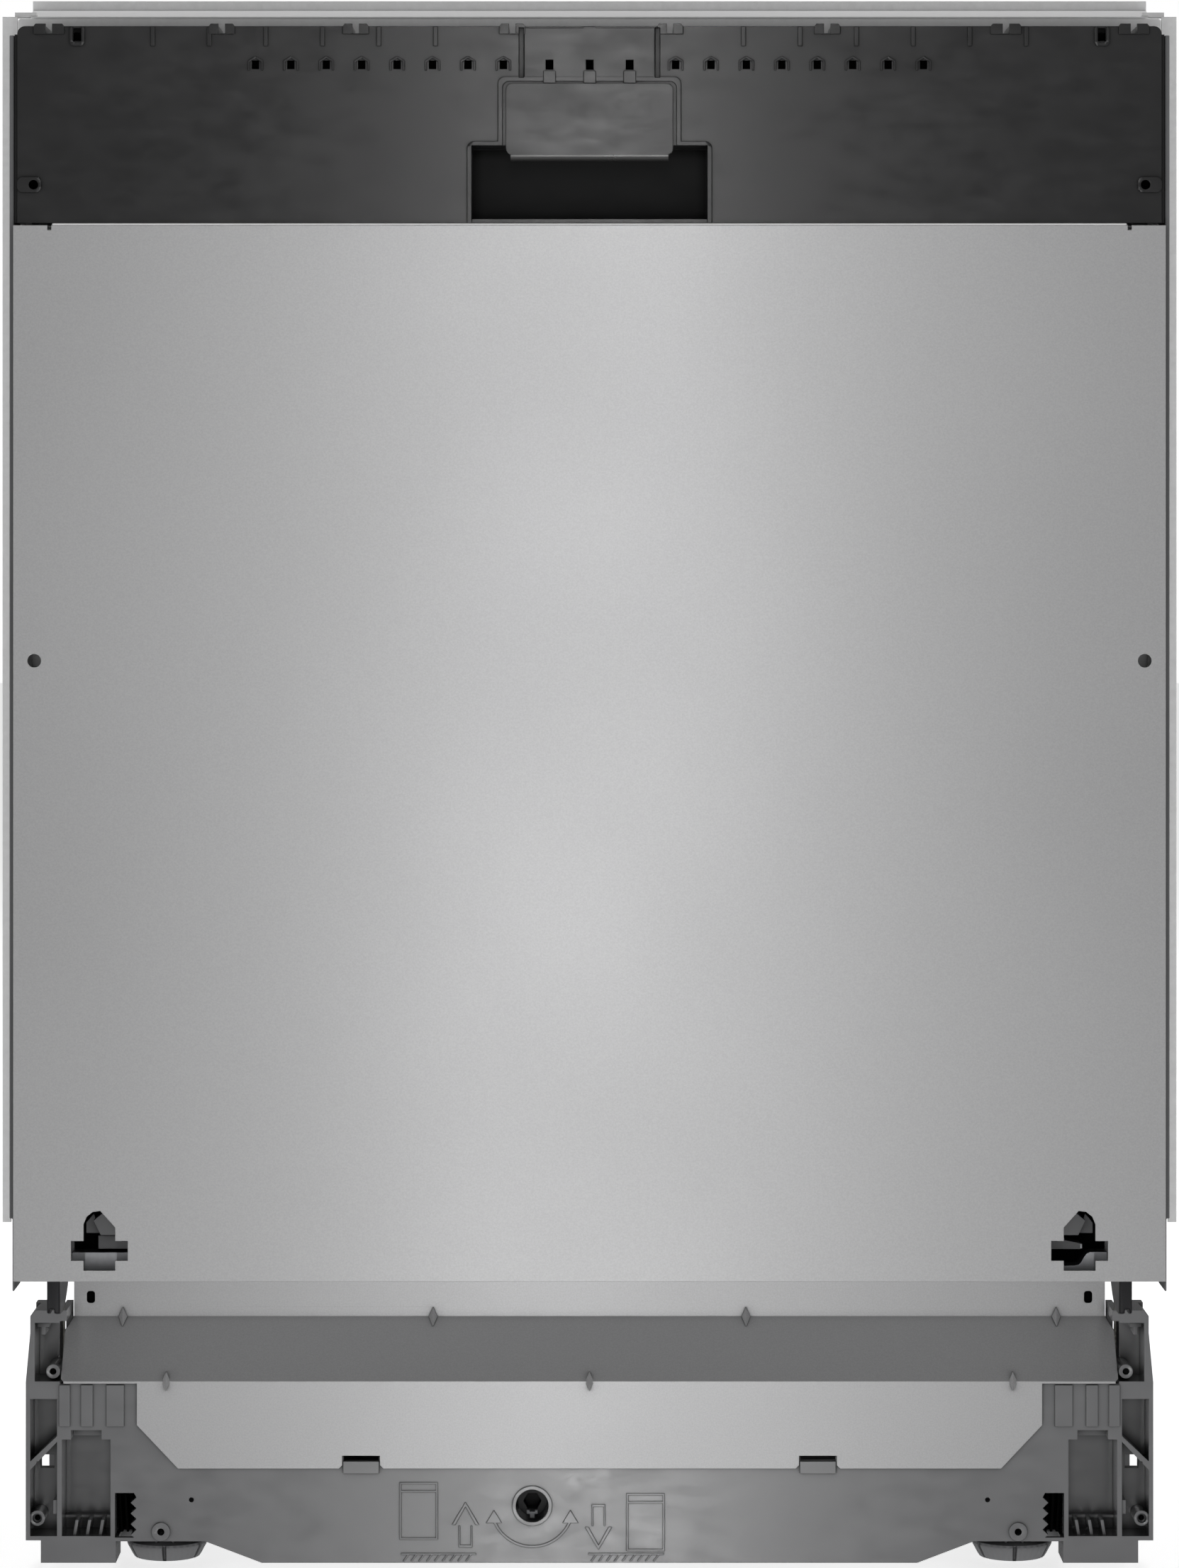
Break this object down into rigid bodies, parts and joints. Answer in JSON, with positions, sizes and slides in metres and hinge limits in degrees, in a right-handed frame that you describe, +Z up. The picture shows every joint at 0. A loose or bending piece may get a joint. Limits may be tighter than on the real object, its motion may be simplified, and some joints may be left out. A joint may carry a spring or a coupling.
{
  "type": "built-in dishwasher",
  "caption": "Built-in dishwasher without furniture front: drop-down steel door with dark fascia, sliding wire racks, spray arms and a plastic base on screw feet.",
  "frame": {"origin": "middle of the footprint, on the floor under the feet", "axes": "+Z up, the door faces -Y, +X is the right side seen from the front"},
  "size_m": [0.598, 0.55, 0.815],
  "materials": {
    "base_plastic": "satin moulded plastic, dark grey",
    "sheet_steel": "satin galvanised sheet, fine grain",
    "tub_steel": "bright stainless sheet",
    "cover_steel": "bright galvanised sheet",
    "zinc_steel": "zinc-plated steel",
    "spring_steel": "oiled spring wire",
    "fascia_plastic": "satin anthracite moulding",
    "strip_plastic": "matte grey moulding",
    "black_plastic": "matte black moulding",
    "grey_plastic": "matte mid-grey moulding",
    "white_plastic": "matte off-white moulding",
    "button_plastic": "gloss grey keys",
    "blue_plastic": "gloss blue cap",
    "coated_wire": "nylon-coated steel wire, light grey",
    "rubber_seal": "matte rubber",
    "insulation_felt": "dark compressed felt",
    "cord_fibre": "braided cord",
    "circuit_board": "green laminate"
  },
  "bodies": {
    "cabinet": {"base_pan": "base_plastic", "base_front": "base_plastic", "kick_sheet": "sheet_steel", "tub_wrap": "tub_steel", "tub_back": "tub_steel", "tub_floor": "tub_steel", "tub_frame": "cover_steel", "door_seal": "rubber_seal", "side_trims": "cover_steel", "top_cover": "cover_steel", "insulation": "insulation_felt", "sump": "black_plastic", "wash_pump": "black_plastic", "drain_pump": "black_plastic", "water_softener": "white_plastic", "inlet_valve": "white_plastic", "power_socket": "black_plastic", "filter_plate": "tub_steel", "hinge_brackets": "zinc_steel", "fixed_rails": "zinc_steel", "latch_striker": "zinc_steel", "spray_feed": "grey_plastic", "spring_cords": "cord_fibre", "door_springs": "spring_steel"},
    "door": {"door_panel": "sheet_steel", "door_side_strips": "strip_plastic", "fascia": "fascia_plastic", "grip_cover": "fascia_plastic", "door_liner": "tub_steel", "door_latch": "black_plastic", "control_board": "circuit_board", "dispenser": "grey_plastic", "hinge_cams": "black_plastic"},
    "upper_rack": {"upper_rack_floor": "coated_wire", "upper_rack_walls": "coated_wire"},
    "lower_rack": {"lower_rack_floor": "coated_wire", "lower_rack_walls": "coated_wire", "cutlery_basket": "grey_plastic"},
    "dispenser_lid": {"dispenser_lid": "white_plastic"},
    "rinse_aid_cap": {"rinse_aid_cap": "blue_plastic"},
    "button_power": {"button_power": "button_plastic"},
    "button_program": {"button_program": "button_plastic"},
    "button_start": {"button_start": "button_plastic"},
    "rail_slides": {"rail_slides": "zinc_steel"},
    "upper_spray_arm": {"upper_spray_arm": "grey_plastic"},
    "cup_shelf_left": {"cup_shelf_left": "grey_plastic"},
    "cup_shelf_right": {"cup_shelf_right": "grey_plastic"},
    "tines_front": {"tines_front": "coated_wire"},
    "tines_rear": {"tines_rear": "coated_wire"},
    "front_wheels": {"front_wheels": "grey_plastic"},
    "rear_wheels": {"rear_wheels": "grey_plastic"},
    "salt_cap": {"salt_cap": "white_plastic"},
    "filter_cylinder": {"filter_cylinder": "grey_plastic"},
    "foot_front_left": {"foot_front_left": "strip_plastic"},
    "foot_front_right": {"foot_front_right": "strip_plastic"},
    "foot_rear": {"foot_rear": "strip_plastic"},
    "adjuster_shaft": {"adjuster_shaft": "black_plastic"},
    "lower_spray_arm": {"lower_spray_arm": "grey_plastic"},
    "pulleys": {"pulleys": "white_plastic"},
    "spring_sliders": {"spring_sliders": "white_plastic"}
  },
  "joints": [
    {"name": "door_hinge", "type": "hinge", "parent": "cabinet", "child": "door", "pos_m": [0, -0.24, 0.185], "axis": [1, 0, 0], "range_deg": [0, 90], "stiffness_Nm_per_rad": 15},
    {"name": "spring_slide", "type": "slide", "parent": "cabinet", "child": "spring_sliders", "axis": [0, -1, 0], "range_m": [0, 0.078], "deforming": ["door_springs"]},
    {"name": "pulley_spin", "type": "hinge", "parent": "cabinet", "child": "pulleys", "pos_m": [0.2726, -0.1784, 0.06], "axis": [1, 0, 0], "range_deg": [-350, 0]},
    {"name": "upper_rack_slide", "type": "slide", "parent": "cabinet", "child": "upper_rack", "axis": [0, -1, 0], "range_m": [0, 0.45]},
    {"name": "rail_slide", "type": "slide", "parent": "cabinet", "child": "rail_slides", "axis": [0, -1, 0], "range_m": [0, 0.225]},
    {"name": "upper_spray_spin", "type": "hinge", "parent": "upper_rack", "child": "upper_spray_arm", "pos_m": [0, 0.01, 0.456], "axis": [0, 0, 1], "continuous": true},
    {"name": "cup_shelf_left_fold", "type": "hinge", "parent": "upper_rack", "child": "cup_shelf_left", "pos_m": [-0.231, 0, 0.575], "axis": [0, -1, 0], "range_deg": [0, 85]},
    {"name": "cup_shelf_right_fold", "type": "hinge", "parent": "upper_rack", "child": "cup_shelf_right", "pos_m": [0.231, 0, 0.575], "axis": [0, 1, 0], "range_deg": [0, 85]},
    {"name": "lower_rack_slide", "type": "slide", "parent": "cabinet", "child": "lower_rack", "axis": [0, -1, 0], "range_m": [0, 0.012]},
    {"name": "front_wheels_spin", "type": "hinge", "parent": "lower_rack", "child": "front_wheels", "pos_m": [0.245, -0.15, 0.216], "axis": [1, 0, 0], "range_deg": [0, 45]},
    {"name": "rear_wheels_spin", "type": "hinge", "parent": "lower_rack", "child": "rear_wheels", "pos_m": [0.245, 0.16, 0.216], "axis": [1, 0, 0], "range_deg": [0, 45]},
    {"name": "tines_front_fold", "type": "hinge", "parent": "lower_rack", "child": "tines_front", "pos_m": [0, -0.06, 0.242], "axis": [-1, 0, 0], "range_deg": [0, 90]},
    {"name": "tines_rear_fold", "type": "hinge", "parent": "lower_rack", "child": "tines_rear", "pos_m": [0, 0.08, 0.242], "axis": [-1, 0, 0], "range_deg": [0, 90]},
    {"name": "lower_spray_spin", "type": "hinge", "parent": "cabinet", "child": "lower_spray_arm", "pos_m": [0, 0.01, 0.213], "axis": [0, 0, 1], "continuous": true},
    {"name": "salt_cap_turn", "type": "hinge", "parent": "cabinet", "child": "salt_cap", "pos_m": [-0.165, 0.07, 0.19], "axis": [0, 0, 1], "range_deg": [0, 450]},
    {"name": "filter_turn", "type": "hinge", "parent": "cabinet", "child": "filter_cylinder", "pos_m": [0.062, -0.034, 0.15], "axis": [0, 0, 1], "range_deg": [0, 90]},
    {"name": "adjuster_spin", "type": "hinge", "parent": "cabinet", "child": "adjuster_shaft", "pos_m": [-0.0294, 0, 0.0333], "axis": [0, 1, 0], "range_deg": [0, 3600]},
    {"name": "rear_foot_slide", "type": "slide", "parent": "cabinet", "child": "foot_rear", "axis": [0, 0, -1], "range_m": [0, 0.0501]},
    {"name": "front_left_foot_slide", "type": "slide", "parent": "cabinet", "child": "foot_front_left", "axis": [0, 0, -1], "range_m": [0, 0.05]},
    {"name": "front_right_foot_slide", "type": "slide", "parent": "cabinet", "child": "foot_front_right", "axis": [0, 0, -1], "range_m": [0, 0.05]},
    {"name": "button_power_press", "type": "slide", "parent": "door", "child": "button_power", "axis": [0, 0, -1], "range_m": [0, 0.001], "stiffness_N_per_m": 600},
    {"name": "button_program_press", "type": "slide", "parent": "door", "child": "button_program", "axis": [0, 0, -1], "range_m": [0, 0.001], "stiffness_N_per_m": 600},
    {"name": "button_start_press", "type": "slide", "parent": "door", "child": "button_start", "axis": [0, 0, -1], "range_m": [0, 0.001], "stiffness_N_per_m": 600},
    {"name": "dispenser_lid_slide", "type": "slide", "parent": "door", "child": "dispenser_lid", "axis": [1, 0, 0], "range_m": [0, 0.066]},
    {"name": "rinse_cap_turn", "type": "hinge", "parent": "door", "child": "rinse_aid_cap", "pos_m": [0.062, -0.222, 0.466], "axis": [0, 1, 0], "range_deg": [0, 90]}
  ],
  "couplings": [
    {"joint": "spring_slide", "follows": "door_hinge", "m_per_rad": 0.0488},
    {"joint": "pulley_spin", "follows": "door_hinge", "ratio": -3.8125},
    {"joint": "upper_rack_slide", "follows": "door_hinge", "m_per_rad": 0.284},
    {"joint": "rail_slide", "follows": "door_hinge", "m_per_rad": 0.142},
    {"joint": "front_wheels_spin", "follows": "lower_rack_slide", "rad_per_m": 59.88},
    {"joint": "rear_wheels_spin", "follows": "lower_rack_slide", "rad_per_m": 59.88},
    {"joint": "rear_foot_slide", "follows": "adjuster_spin", "m_per_rad": 0.000796}
  ]
}
